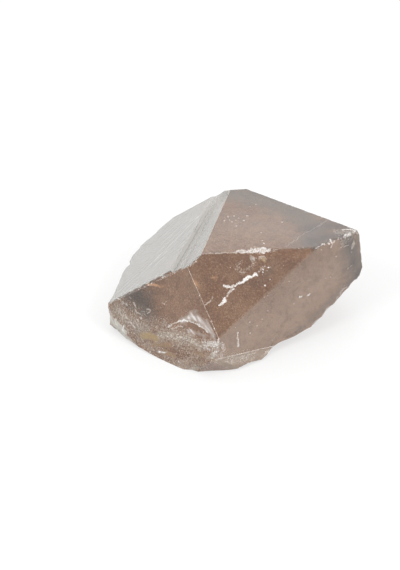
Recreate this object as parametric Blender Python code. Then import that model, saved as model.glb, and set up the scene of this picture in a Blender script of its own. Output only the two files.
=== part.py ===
"""A smoky quartz crystal, broken off its rock and lying on the broken side.

Quartz grows as a six-sided prism closed by a six-sided pyramid.  Every face of the
crystal is a plane whose direction is fixed by the mineral: the prism faces stand
parallel to the long axis, and a pyramid face's normal is 51.79 degrees from it.
Only the distance of each face from the crystal's heart differs from one crystal to
the next.  So the body is a block cut by those planes, each at its own distance.
After that come the things that happened to it: growth ledges on one prism face,
the break at its base, flakes lost along the edges, and a rest on its broken side.

Units are metres, +Z is up, and the crystal stands on Z = 0.
"""
import math

import bmesh
import bpy
import numpy as np
from mathutils import Matrix, Vector

MM = 0.001

# How the crystal lies: its long axis rises to the right and a little forward.
AXIS_RISE_DEG = 39.3
AXIS_HEADING_DEG = -15.0
TURN_ABOUT_AXIS_DEG = 180.0
HEART_HEIGHT_MM = 13.7

# Directions that quartz gives to its faces.
PYRAMID_LEAN_DEG = 51.79
PRISM_LEAN_DEG = 90.0
SIXTH_TURN_DEG = 60.0

# Distance of each face from the heart of the crystal.  The number in a name counts
# sixths of a turn about the long axis.  pyramid_0 is the level face on top.
PYRAMID_DISTANCE_MM = (17.5, 19.1, 21.4, 36.5, 35.4, 28.2)
PRISM_DISTANCE_MM = (18.9, 23.0, 30.3, 26.0, 27.0, 28.3)
# A prism face of smoky quartz often leans in towards the tip.
PRISM_TAPER_DEG = (0.0, 0.0, 0.0, 7.0, 0.0, 0.0)

# A narrow steep face softens the ridge between pyramid_0 and prism_0.
STEEP_FACE_LEAN_DEG = 83.5
STEEP_FACE_DISTANCE_MM = 18.84

# Growth ledges step down prism_0 towards the tip, each fanning away from the ridge.
LEDGE_DEPTH_MM = (0.35, 0.40)
LEDGE_BELOW_RIDGE_MM = (4.0, 3.0)
LEDGE_FAN_DEG = (-7.5, -3.5)
LEDGE_END_LEAN_DEG = 32.0
LEDGE_CUTTER_MM = (60.0, 40.0, 6.0)

# pyramid_2 ends in a low sill above the break.
SILL_PROUD_MM = 1.3
SILL_HEIGHT_MM = (5.8, 2.8)
SILL_FROM_TO_MM = (-21.0, -1.9)
SILL_END_LEAN_DEG = -10.0
SILL_CUTTER_MM = (70.0, 60.0, 8.0)

# The break: a steep snapped end, a flake off its front corner, a side spall behind.
# Each row has a name, a point in mm, a normal, how rough it is and the relief's seed.
STEEP_BREAKS = (
    ("end_break", (-34.2, 7.7, 8.0), (-0.96, 0.27, -0.06), 0.8, 1.3),
    ("corner_flake", (-34.7, -10.5, 3.0), (-0.75, -0.64, -0.12), 0.7, 3.4),
    ("side_spall", (-25.3, 23.4, 12.3), (-0.46, 0.78, -0.08), 0.7, 2.4),
)
BREAK_CELL_MM = 1.7
BREAK_REACH_MM = 50.0
CUTTER_DEPTH_MM = 60.0

# Relief of a broken face.  A rate is in radians per mm.
BROAD_SWELL_MM = 0.55
BROAD_SWELL_RATES = (0.19, 0.23)
CROSS_SWELL_MM = 0.28
CROSS_SWELL_RATES = (0.43, 0.31)
RING_MM = 0.30
RING_RATE = 0.85
RING_FADE_MM = 26.0
RING_CENTRE_REACH_MM = (14.0, 9.0)
STEP_MM = 0.22
STEP_RATES = (0.33, 0.21)
STEP_SHARPNESS = 4.0

# The flat on the underside that the crystal rests on, and the reach of its low part.
REST_CENTRE_MM = (-6.0, -5.0)
REST_HALF_SIZE_MM = (15.0, 12.0)
REST_DISH_MM = 1.6
LOW_PART_HALF_SIZE_MM = (24.0, 22.0)
LIFT_MM = 4.5
LIFT_POWER = 1.4
RIGHT_RIM_HEIGHT_MM = 2.6
RIGHT_RIM_FROM_X_MM = 11.0
RIGHT_RIM_WIDTH_MM = 0.9
UNDERSIDE_HEIGHT_MM = 0.35
UNDERSIDE_ROUGH = 0.9
UNDERSIDE_SEED = 0.6

# A flake's length and depth are drawn between these shares of its size.
FLAKE_LENGTH_SHARE = (0.6, 1.5)
FLAKE_DEPTH_SHARE = (0.10, 0.22)
FLAKE_WIDTH_SHARE = 0.9
FLAKE_THICK_SHARE = 0.5
FLAKE_PLACE_SHARE = (0.15, 0.85)

# Edges that have lost flakes: name, the two faces that meet, the faces at the edge's
# ends, from and to as shares of the edge, how many flakes, their size in mm, the seed.
FLAKED_EDGES = (
    ("brow", ("pyramid_0", "pyramid_1"), ("steep", "pyramid_2"), (0.33, 0.60), 5, 1.9, 9),
    ("tip", ("pyramid_0", "pyramid_2"), ("pyramid_4", "pyramid_1"), (0.0, 0.55), 4, 2.4, 21),
    ("toe", ("pyramid_2", "prism_1"), ("pyramid_1", "prism_2"), (0.1, 1.0), 3, 2.0, 15),
    ("back", ("pyramid_0", "pyramid_5"), ("pyramid_4", "prism_5"), (0.0, 1.0), 6, 1.3, 33),
    ("right", ("pyramid_2", "pyramid_4"), ("pyramid_0", "pyramid_3"), (0.0, 1.0), 3, 1.2, 41),
    ("far", ("pyramid_5", "prism_5"), ("pyramid_0", "prism_4"), (0.0, 1.0), 5, 1.6, 52),
)
# The ridge between the two near prism faces is chipped from the shoulder down.
RIDGE_FLAKES = (42.0, 12, 1.7, 4)
# Two larger flakes at corners: how far out of the corner, and the flake's half sizes.
TIP_END_FLAKE_MM = (1.6, (4.2, 3.0, 2.6))
HEEL_FLAKE_MM = (2.2, (7.0, 6.0, 3.4))

BLOCK_MM = 90.0
SPARE_ROCK_MM = 4.0
SMOKE_BROWN = (0.30, 0.19, 0.13, 1.0)


def clear_scene():
    """Remove whatever objects the file opened with."""
    for thing in list(bpy.data.objects):
        bpy.data.objects.remove(thing, do_unlink=True)


def crystal_turn():
    """Rotation from the crystal's own axes, long axis +Z, to how it lies."""
    spin = Matrix.Rotation(math.radians(TURN_ABOUT_AXIS_DEG), 3, "Z")
    lean = Matrix.Rotation(math.radians(90.0 - AXIS_RISE_DEG), 3, "Y")
    heading = Matrix.Rotation(math.radians(AXIS_HEADING_DEG), 3, "Z")
    return heading @ lean @ spin


TURN = crystal_turn()
HEART = Vector((0.0, 0.0, HEART_HEIGHT_MM))
LONG_AXIS = TURN @ Vector((0.0, 0.0, 1.0))


def face_normal(sixth, lean_deg):
    """Unit normal of a quartz face: its sixth of a turn and its lean from the axis."""
    lean = math.radians(lean_deg)
    turn = math.radians(SIXTH_TURN_DEG * sixth)
    own = Vector((math.sin(lean) * math.cos(turn), math.sin(lean) * math.sin(turn), math.cos(lean)))
    return TURN @ own


def pyramid(sixth):
    """A pyramid face's plane, as (normal, distance from the heart)."""
    return face_normal(sixth, PYRAMID_LEAN_DEG), PYRAMID_DISTANCE_MM[sixth]


def prism(sixth):
    """A prism face's plane, as (normal, distance from the heart)."""
    lean = PRISM_LEAN_DEG - PRISM_TAPER_DEG[sixth]
    return face_normal(sixth, lean), PRISM_DISTANCE_MM[sixth]


def steep_face():
    """The plane of the narrow face between pyramid_0 and prism_0."""
    return face_normal(0, STEEP_FACE_LEAN_DEG), STEEP_FACE_DISTANCE_MM


def face_named(name):
    """The plane of a face by its name, such as prism_1, or steep."""
    if name == "steep":
        return steep_face()
    kind, sixth = name.split("_")
    return {"pyramid": pyramid, "prism": prism}[kind](int(sixth))


def sill_front():
    """The plane that pyramid_2 has on the sill, a little proud of its own."""
    normal, distance = pyramid(2)
    return normal, distance + SILL_PROUD_MM


def growth_planes():
    """Every face plane that bounds the crystal before its ledges are cut."""
    pyramids = [sill_front() if sixth == 2 else pyramid(sixth) for sixth in range(6)]
    return pyramids + [prism(sixth) for sixth in range(6)] + [steep_face()]


def object_from_bmesh(bm, name):
    """A new object in the scene with this mesh."""
    mesh = bpy.data.meshes.new(name)
    bm.to_mesh(mesh)
    bm.free()
    thing = bpy.data.objects.new(name, mesh)
    bpy.context.scene.collection.objects.link(thing)
    return thing


def cut_by_plane(bm, point, normal):
    """Take away what lies beyond a plane, and close the cut with one face."""
    geometry = bm.verts[:] + bm.edges[:] + bm.faces[:]
    cut = bmesh.ops.bisect_plane(bm, geom=geometry, plane_co=point, plane_no=normal, clear_outer=True)
    rim = [item for item in cut["geom_cut"] if isinstance(item, bmesh.types.BMEdge)]
    if rim:
        bmesh.ops.contextual_create(bm, geom=rim)


def grown_block():
    """The crystal as it grew: a block cut by every face plane."""
    bm = bmesh.new()
    bmesh.ops.create_cube(bm, size=BLOCK_MM * MM)
    cut_by_plane(bm, Vector((0.0, 0.0, -SPARE_ROCK_MM)) * MM, Vector((0.0, 0.0, -1.0)))
    for normal, distance in growth_planes():
        cut_by_plane(bm, (HEART + normal * distance) * MM, normal)
    bmesh.ops.recalc_face_normals(bm, faces=bm.faces)
    return object_from_bmesh(bm, "crystal")


def oriented_frame(normal, along):
    """Rows are three unit directions: along the face, across the face, out of it."""
    out = Vector(normal).normalized()
    first = Vector(along)
    first = (first - out * first.dot(out)).normalized()
    return first, out.cross(first), out


def wedge_cutter(name, point, frame, sizes, end_lean_deg):
    """A box that stands on a face, with its near end leaning back by an angle.

    point is the middle of the near end's foot.  sizes are the half length along the
    ridge, the reach away from the foot and the height out of the face.
    """
    along, across, out = frame
    half, reach, height = sizes
    back = height * math.tan(math.radians(end_lean_deg))
    foot = ((-half, 0.0, 0.0), (half, 0.0, 0.0), (half, reach, 0.0), (-half, reach, 0.0))
    top = ((-half, -back, height), (half, -back, height), (half, reach, height), (-half, reach, height))
    bm = bmesh.new()
    corners = []
    for a, b, c in foot + top:
        corners.append(bm.verts.new((Vector(point) + along * a + across * b + out * c) * MM))
    sides = ((0, 1, 2, 3), (4, 5, 6, 7), (0, 1, 5, 4), (1, 2, 6, 5), (2, 3, 7, 6), (3, 0, 4, 7))
    for side in sides:
        bm.faces.new([corners[i] for i in side])
    bmesh.ops.recalc_face_normals(bm, faces=bm.faces)
    return object_from_bmesh(bm, name)


def ripples(across, up, seed):
    """Relief of a shell-like break in mm: broad swells and fading rings about one point."""
    rate_a, rate_b = BROAD_SWELL_RATES
    swell = BROAD_SWELL_MM * np.sin(rate_a * across + 1.7 * seed) * np.cos(rate_b * up - seed)
    rate_a, rate_b = CROSS_SWELL_RATES
    swell += CROSS_SWELL_MM * np.sin(rate_a * across + rate_b * up + 2.1 * seed)
    reach_a, reach_b = RING_CENTRE_REACH_MM
    radius = np.hypot(across - reach_a * math.cos(seed), up - reach_b * math.sin(seed))
    rings = RING_MM * np.cos(RING_RATE * radius) * np.exp(-radius / RING_FADE_MM)
    rate_a, rate_b = STEP_RATES
    steps = STEP_MM * np.tanh(STEP_SHARPNESS * np.sin(rate_a * up - rate_b * across + seed))
    return swell + rings + steps


def relief_cutter(name, point, frame, relief):
    """A thick slab that lies on a plane, its lower side following a relief.

    relief(along, across) gives how far the lower side stands out of the plane, in mm.
    """
    along, across, out = frame
    count = int(2 * BREAK_REACH_MM / BREAK_CELL_MM) + 1
    line = np.linspace(-BREAK_REACH_MM, BREAK_REACH_MM, count)
    grid_a, grid_b = np.meshgrid(line, line, indexing="ij")
    low = relief(grid_a, grid_b)
    base = np.array(point)
    plane = base + grid_a[..., None] * np.array(along) + grid_b[..., None] * np.array(across)
    lower = plane + low[..., None] * np.array(out)
    upper = plane + CUTTER_DEPTH_MM * np.array(out)
    bm = bmesh.new()
    sheets = []
    for sheet in (lower, upper):
        sheets.append([[bm.verts.new(Vector(spot) * MM) for spot in row] for row in sheet])
    for sheet in sheets:
        for i in range(count - 1):
            for j in range(count - 1):
                bm.faces.new((sheet[i][j], sheet[i + 1][j], sheet[i + 1][j + 1], sheet[i][j + 1]))
    bottom, top = sheets
    for k in range(count - 1):
        for i, j, m, n in ((k, 0, k + 1, 0), (k, -1, k + 1, -1), (0, k, 0, k + 1), (-1, k, -1, k + 1)):
            bm.faces.new((bottom[i][j], bottom[m][n], top[m][n], top[i][j]))
    bmesh.ops.triangulate(bm, faces=bm.faces)
    bmesh.ops.recalc_face_normals(bm, faces=bm.faces)
    return object_from_bmesh(bm, name)


def underside_relief(x, y):
    """Height of the underside over the floor in mm.

    The break rolls gently, and whatever would reach below the floor is worn flat.
    A dish pulled down round the rest's middle makes sure that a broad flat is there.
    """
    east = x - REST_CENTRE_MM[0]
    north = y - REST_CENTRE_MM[1]
    off_low = np.hypot(east / LOW_PART_HALF_SIZE_MM[0], north / LOW_PART_HALF_SIZE_MM[1]) - 1.0
    near_rest = np.exp(-((east / REST_HALF_SIZE_MM[0]) ** 2) - (north / REST_HALF_SIZE_MM[1]) ** 2)
    rim = RIGHT_RIM_HEIGHT_MM / (1.0 + np.exp(-(x - RIGHT_RIM_FROM_X_MM) / RIGHT_RIM_WIDTH_MM))
    lift = LIFT_MM * np.clip(off_low, 0.0, None) ** LIFT_POWER + rim
    rolling = UNDERSIDE_HEIGHT_MM + UNDERSIDE_ROUGH * ripples(x, y, UNDERSIDE_SEED)
    return np.clip(rolling + lift - REST_DISH_MM * near_rest, 0.0, None)


def flake_cutter(name, centre, radii, out):
    """A flattened ball that takes a shell-like flake, its short axis along out."""
    bm = bmesh.new()
    bmesh.ops.create_icosphere(bm, subdivisions=2, radius=1.0)
    turn = Vector(out).to_track_quat("Z", "Y").to_matrix().to_4x4()
    stretch = Matrix.Diagonal((radii[0] * MM, radii[1] * MM, radii[2] * MM, 1.0))
    place = Matrix.Translation(Vector(centre) * MM)
    bmesh.ops.transform(bm, matrix=place @ turn @ stretch, verts=bm.verts)
    return object_from_bmesh(bm, name)


def meeting_point(planes):
    """The corner where three planes, given as (normal, distance), meet."""
    rows = np.array([list(normal) for normal, _ in planes])
    distances = np.array([distance for _, distance in planes])
    return HEART + Vector(np.linalg.solve(rows, distances))


def flakes_along(name, start, end, out, count, size_mm, seed):
    """Cutters for small flakes lost along an edge, uneven in place, length and depth."""
    draw = np.random.default_rng(seed)
    cutters = []
    for index in range(count):
        share = (index + draw.uniform(*FLAKE_PLACE_SHARE)) / count
        length = size_mm * draw.uniform(*FLAKE_LENGTH_SHARE)
        deep = size_mm * draw.uniform(*FLAKE_DEPTH_SHARE)
        thick = size_mm * FLAKE_THICK_SHARE
        spot = start.lerp(end, share) + out * (thick - deep)
        radii = (length, size_mm * FLAKE_WIDTH_SHARE, thick)
        cutters.append(flake_cutter(f"{name}_flake_{index}", spot, radii, out))
    return cutters


def edge_between(faces, stops):
    """The two ends of the edge where two faces meet, and the way out of it."""
    first, second = faces
    start, end = (meeting_point((first, second, stop)) for stop in stops)
    return start, end, (first[0] + second[0]).normalized()


def corner_flake(name, corner, planes, reach_and_radii):
    """Cutter for one larger flake lost at a corner of these planes."""
    reach, radii = reach_and_radii
    out = sum((normal for normal, _ in planes), Vector()).normalized()
    return flake_cutter(name, corner + out * reach, radii, out)


def edge_flakes():
    """Cutters for every edge and corner that has lost flakes."""
    reach, *drawn = RIDGE_FLAKES
    shoulder, _, out = edge_between((prism(0), prism(1)), (pyramid(1), pyramid(0)))
    cutters = flakes_along("ridge", shoulder, shoulder - LONG_AXIS * reach, out, *drawn)
    for name, faces, stops, (low, high), *drawn in FLAKED_EDGES:
        start, end, out = edge_between(map(face_named, faces), map(face_named, stops))
        cutters += flakes_along(name, start.lerp(end, low), start.lerp(end, high), out, *drawn)

    tip = (pyramid(0), pyramid(2), pyramid(4))
    cutters.append(corner_flake("tip_end_flake", meeting_point(tip), tip, TIP_END_FLAKE_MM))
    floor = (Vector((0.0, 0.0, -1.0)), HEART_HEIGHT_MM)
    heel = (prism(1), prism(2))
    cutters.append(corner_flake("heel_flake", meeting_point((*heel, floor)), heel, HEEL_FLAKE_MM))
    return cutters


def break_cutters():
    """Cutters for the snapped end, its corner flake, the side spall and the underside."""
    cutters = []
    for name, point, normal, rough, seed in STEEP_BREAKS:
        frame = oriented_frame(normal, (0.0, 0.0, 1.0))
        cutters.append(relief_cutter(name, point, frame, lambda a, b: rough * ripples(a, b, seed)))

    # Seen from below, the second direction of this frame runs along -Y.
    down_frame = (Vector((1.0, 0.0, 0.0)), Vector((0.0, -1.0, 0.0)), Vector((0.0, 0.0, -1.0)))
    underside = relief_cutter("underside", (0.0, 0.0, 0.0), down_frame, lambda a, b: -underside_relief(a, -b))
    return cutters + [underside]


def ledge_cutters():
    """Cutters for the growth ledges on prism_0, which step in towards the tip."""
    normal, _ = prism(0)
    ridge_top = meeting_point((pyramid(0), steep_face(), prism(5)))
    cutters = []
    deep = 0.0
    for index, fan_deg in enumerate(LEDGE_FAN_DEG):
        deep += LEDGE_DEPTH_MM[index]
        fan = Matrix.Rotation(math.radians(fan_deg), 3, normal)
        across = fan @ LONG_AXIS
        foot = ridge_top - LONG_AXIS * LEDGE_BELOW_RIDGE_MM[index] - normal * deep
        frame = (across.cross(normal), across, normal)
        cutters.append(wedge_cutter(f"ledge_{index}", foot, frame, LEDGE_CUTTER_MM, LEDGE_END_LEAN_DEG))
    return cutters


def sill_cutter():
    """Cutter that sets pyramid_2 back to its own plane above the sill."""
    normal, distance = pyramid(2)
    level = Vector((0.0, 0.0, 1.0)).cross(normal).normalized()
    upslope = normal.cross(level)
    middle = HEART + normal * distance
    ends = []
    for sideways, height in zip(SILL_FROM_TO_MM, SILL_HEIGHT_MM):
        climb = (height - middle.z) / upslope.z
        ends.append(middle + level * sideways + upslope * climb)
    frame = oriented_frame(normal, ends[1] - ends[0])
    middle_foot = ends[0].lerp(ends[1], 0.5)
    return wedge_cutter("sill", middle_foot, frame, SILL_CUTTER_MM, SILL_END_LEAN_DEG)


def carve(body, cutters):
    """Take each cutter away from the body, with the exact solver."""
    for cutter in cutters:
        cutter.hide_render = True
        cutter.display_type = "WIRE"
        cut = body.modifiers.new(cutter.name, "BOOLEAN")
        cut.operation = "DIFFERENCE"
        cut.solver = "EXACT"
        cut.object = cutter


def smoky_quartz():
    """Clear brown quartz: glossy, see-through, its colour in the body of the stone."""
    finish = bpy.data.materials.new("smoky_quartz")
    finish.use_nodes = True
    surface = finish.node_tree.nodes["Principled BSDF"]
    surface.inputs["Base Color"].default_value = SMOKE_BROWN
    surface.inputs["Roughness"].default_value = 0.12
    surface.inputs["Metallic"].default_value = 0.0
    surface.inputs["IOR"].default_value = 1.544
    surface.inputs["Transmission Weight"].default_value = 0.9
    return finish


def stand_on_origin(body, cutters):
    """Move body and cutters together, so that the origin is under the middle of its box."""
    bpy.context.view_layer.update()
    corners = np.array(body.evaluated_get(bpy.context.evaluated_depsgraph_get()).bound_box)
    middle = (corners.min(axis=0) + corners.max(axis=0)) / 2.0
    place = bpy.data.objects.new("place", None)
    bpy.context.scene.collection.objects.link(place)
    place.location = (-middle[0], -middle[1], -corners[:, 2].min())
    for thing in [body] + cutters:
        thing.parent = place
    bpy.context.view_layer.update()


def main():
    """Grow the crystal, break it, and leave it lying on its broken side."""
    clear_scene()
    crystal = grown_block()
    cutters = ledge_cutters() + [sill_cutter()] + break_cutters() + edge_flakes()
    carve(crystal, cutters)
    stand_on_origin(crystal, cutters)
    crystal.data.materials.append(smoky_quartz())


main()
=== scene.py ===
# %% [markdown]
# # A smoky quartz crystal
# The object is one natural crystal that was snapped off its rock.  Its flat faces grew
# that way.  Its base and its chipped edges are broken glassy stone.  This lesson loads
# the plain solid, makes a finer surface from it, breaks that surface where the real one
# is broken, and then mixes one finish for the whole stone.

# %% Load the plain solid
import math

import bpy
import numpy as np
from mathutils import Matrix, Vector


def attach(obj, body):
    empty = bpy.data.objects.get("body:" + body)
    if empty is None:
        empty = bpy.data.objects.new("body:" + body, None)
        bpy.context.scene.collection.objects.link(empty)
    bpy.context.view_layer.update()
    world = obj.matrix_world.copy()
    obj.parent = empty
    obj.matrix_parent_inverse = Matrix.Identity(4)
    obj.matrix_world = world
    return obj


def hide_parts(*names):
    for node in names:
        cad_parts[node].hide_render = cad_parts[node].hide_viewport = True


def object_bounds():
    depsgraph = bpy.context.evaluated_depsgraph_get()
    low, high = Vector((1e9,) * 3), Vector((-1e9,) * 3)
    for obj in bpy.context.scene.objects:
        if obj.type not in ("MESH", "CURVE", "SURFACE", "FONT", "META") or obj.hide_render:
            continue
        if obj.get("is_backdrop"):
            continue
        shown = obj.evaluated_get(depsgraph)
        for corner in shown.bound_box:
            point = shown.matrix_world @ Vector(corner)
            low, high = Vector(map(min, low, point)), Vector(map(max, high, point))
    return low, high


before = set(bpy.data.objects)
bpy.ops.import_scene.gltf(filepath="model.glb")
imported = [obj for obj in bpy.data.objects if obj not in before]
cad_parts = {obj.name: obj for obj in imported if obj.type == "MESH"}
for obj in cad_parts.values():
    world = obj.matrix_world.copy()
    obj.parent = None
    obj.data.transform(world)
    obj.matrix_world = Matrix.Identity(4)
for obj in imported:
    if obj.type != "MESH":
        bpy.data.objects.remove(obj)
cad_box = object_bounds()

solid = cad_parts["crystal"]
print("solid box in mm:", np.round(np.array(cad_box) * 1000, 1).tolist())

# %% [markdown]
# Lengths below are in millimetres, because a hand specimen is measured that way.
# Blender works in metres, so each length is multiplied by MM when it is used.
# Colours are written as the hex values a colour picker shows, and one function turns
# them into the linear numbers that a shader works with.

# %% Units and colours
MM = 0.001


def linear(hex_colour):
    """sRGB hex to linear RGBA: c / 12.92 below 0.04045, else ((c + 0.055) / 1.055) ** 2.4."""
    srgb = np.array([int(hex_colour[i:i + 2], 16) / 255 for i in (1, 3, 5)])
    low = srgb / 12.92
    high = ((srgb + 0.055) / 1.055) ** 2.4
    return (*np.where(srgb <= 0.04045, low, high).tolist(), 1.0)


def unit(vectors):
    """Each vector divided by its own length."""
    vectors = np.asarray(vectors, float)
    return vectors / np.linalg.norm(vectors, axis=-1, keepdims=True)


# %% [markdown]
# The camera looks down at the stone from in front, 37 degrees above the table, from far
# enough away that parallel edges stay nearly parallel.  A long lens keeps it that way.

# %% Camera
LOOK_AT_MM = np.array([-10.8, -18.1, 23.7])
CAMERA_MM = np.array([-10.8, -577.1, 445.0])
LENS_MM = 147.37
SENSOR_MM = 36.0

scene = bpy.context.scene
scene.view_settings.view_transform = "Standard"


def aim(thing, place_mm, at_mm):
    """Put a thing at a place and turn its -Z axis towards a point."""
    thing.location = Vector(place_mm) * MM
    thing.rotation_euler = (Vector(at_mm) - Vector(place_mm)).to_track_quat("-Z", "Y").to_euler()
    scene.collection.objects.link(thing)


camera = bpy.data.objects.new("camera", bpy.data.cameras.new("camera"))
camera.data.lens = LENS_MM
camera.data.sensor_width = SENSOR_MM
camera.data.sensor_fit = "AUTO"
aim(camera, CAMERA_MM, LOOK_AT_MM)
scene.camera = camera
print("camera stands", round(float(np.linalg.norm(CAMERA_MM - LOOK_AT_MM))), "mm from the stone")

# %% [markdown]
# Quartz always grows the same angles.  Six prism faces stand parallel to the long axis,
# sixty degrees apart, and six pyramid faces close the tip, each with its normal 51.79
# degrees from the axis.  Knowing the planes, every point of the surface can be asked how
# far it is from each face: that is how the code below tells a grown face from a break.

# %% Face planes
AXIS_RISE = math.radians(39.3)
AXIS_HEADING = math.radians(-15.0)
PYRAMID_LEAN = 51.79
HEART_MM = np.array([-0.8177, -2.1026, 13.7])
FACES = {
    "pyramid_0": (0, PYRAMID_LEAN, 17.5), "pyramid_1": (1, PYRAMID_LEAN, 19.1),
    "pyramid_2": (2, PYRAMID_LEAN, 21.4), "pyramid_3": (3, PYRAMID_LEAN, 36.5),
    "pyramid_4": (4, PYRAMID_LEAN, 35.4), "pyramid_5": (5, PYRAMID_LEAN, 28.2),
    "prism_0": (0, 90.0, 18.9), "prism_1": (1, 90.0, 23.0), "prism_2": (2, 90.0, 30.3),
    "prism_3": (3, 83.0, 26.0), "prism_4": (4, 90.0, 27.0), "prism_5": (5, 90.0, 28.3),
    "steep": (0, 83.5, 18.84),
}


def turned(angle, axis):
    """Rotation matrix by an angle about Y (axis 1) or Z (axis 2)."""
    c, s = math.cos(angle), math.sin(angle)
    if axis == 1:
        return np.array([[c, 0, s], [0, 1, 0], [-s, 0, c]])
    return np.array([[c, -s, 0], [s, c, 0], [0, 0, 1]])


CRYSTAL_TURN = turned(AXIS_HEADING, 2) @ turned(math.pi / 2 - AXIS_RISE, 1) @ turned(math.pi, 2)
LONG_AXIS = CRYSTAL_TURN @ np.array([0.0, 0.0, 1.0])


def face_normal(sixth, lean_deg):
    """(sin l cos t, sin l sin t, cos l) for lean l and turn t, carried to how the stone lies."""
    lean, turn = math.radians(lean_deg), math.radians(60.0 * sixth)
    own = (math.sin(lean) * math.cos(turn), math.sin(lean) * math.sin(turn), math.cos(lean))
    return CRYSTAL_TURN @ np.array(own)


NORMALS = {name: face_normal(sixth, lean) for name, (sixth, lean, _) in FACES.items()}
DISTANCES = {name: distance for name, (_, _, distance) in FACES.items()}


def above_face(points, name):
    """Signed distance in mm of each point from a face's plane, minus inside the stone."""
    return (points - HEART_MM) @ NORMALS[name] - DISTANCES[name]


print("long axis", np.round(LONG_AXIS, 3).tolist())

# %% [markdown]
# The solid's mesh is loose triangles, so a copy of it is merged first: corners at the
# same place become one point, and the triangles then share their edges.

# %% Merge the solid
def merged(thing):
    """Points in mm and triangles of a mesh object, with points at the same place made one."""
    mesh = thing.data
    points = np.empty(len(mesh.vertices) * 3)
    mesh.vertices.foreach_get("co", points)
    mesh.calc_loop_triangles()
    triangles = np.empty(len(mesh.loop_triangles) * 3, np.int64)
    mesh.loop_triangles.foreach_get("vertices", triangles)
    places, where = np.unique(np.round(points.reshape(-1, 3) / MM, 4), axis=0, return_inverse=True)
    triangles = where.reshape(-1)[triangles].reshape(-1, 3)
    a, b, c = triangles.T
    return places, triangles[(a != b) & (b != c) & (c != a)]


def edges_of(triangles):
    """The unique edges as point pairs, and for each triangle which edges are its three."""
    pairs = np.sort(triangles[:, [[0, 1], [1, 2], [2, 0]]].reshape(-1, 2), axis=1)
    size = triangles.max() + 1
    keys, which = np.unique(pairs[:, 0] * size + pairs[:, 1], return_inverse=True)
    return np.stack([keys // size, keys % size], axis=1), which.reshape(-1, 3)


points, triangles = merged(solid)
print("merged solid:", len(points), "points,", len(triangles), "triangles")

# %% [markdown]
# The copy is made finer only where detail is going to be.  Each edge that is longer than
# wanted at its place gets a new point at its middle.  A triangle with any split edge
# splits its longest edge too, which keeps the small triangles well shaped.

# %% Split the long edges
LONG_MM = 1.5


def split_once(points, sizes, triangles, wanted):
    """Put a point at the middle of every edge that is longer than wanted there.

    sizes holds the length wanted at each point.  A short edge goes by the mean of its
    two ends, and only a long one is asked at its middle.
    """
    edges, which = edges_of(triangles)
    middle = points[edges].mean(axis=1)
    length = np.linalg.norm(points[edges[:, 1]] - points[edges[:, 0]], axis=1)
    split = length > sizes[edges].mean(axis=1)
    long = length > LONG_MM
    split[long] |= length[long] > wanted(middle[long])
    longest = which[np.arange(len(which)), length[which].argmax(axis=1)]
    while True:
        more = longest[split[which].any(axis=1)]
        if split[more].all():
            break
        split[more] = True
    if not split.any():
        return points, sizes, triangles, False
    new = np.where(split, len(points) + np.cumsum(split) - 1, -1)
    first = length[which].argmax(axis=1)[:, None]
    order = (first + np.arange(3)) % 3
    rows = np.arange(len(triangles))[:, None]
    a, b, c = triangles[rows, order].T
    ab, bc, ca = new[which[rows, order]].T
    has_ab, has_bc, has_ca = ab >= 0, bc >= 0, ca >= 0
    parts = [np.stack([a, b, c], 1)[~has_ab]]
    for wants, corners in (
        (~has_ca, (a, ab, c)), (has_ca, (a, ab, ca)), (has_ca, (ab, c, ca)),
        (~has_bc, (ab, b, c)), (has_bc, (ab, b, bc)), (has_bc, (ab, bc, c)),
    ):
        parts.append(np.stack(corners, 1)[has_ab & wants])
    sizes = np.concatenate([sizes, wanted(middle[split])])
    return np.vstack([points, middle[split]]), sizes, np.vstack(parts), True


# %% [markdown]
# Splitting alone leaves thin triangles where the solid had some.  Where two triangles in
# one plane share an edge, the edge can be turned to join their other two corners instead.
# The shape stays the same, and the triangles get fatter.

# %% Turn edges of thin triangles
LEVEL_MM = 0.0006


def sides_of(triangles):
    """For each edge, the two triangles that share it and which side of each it is."""
    edges, which = edges_of(triangles)
    order = np.argsort(which.reshape(-1), kind="stable").reshape(-1, 2)
    return edges, order // 3, order % 3


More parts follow.
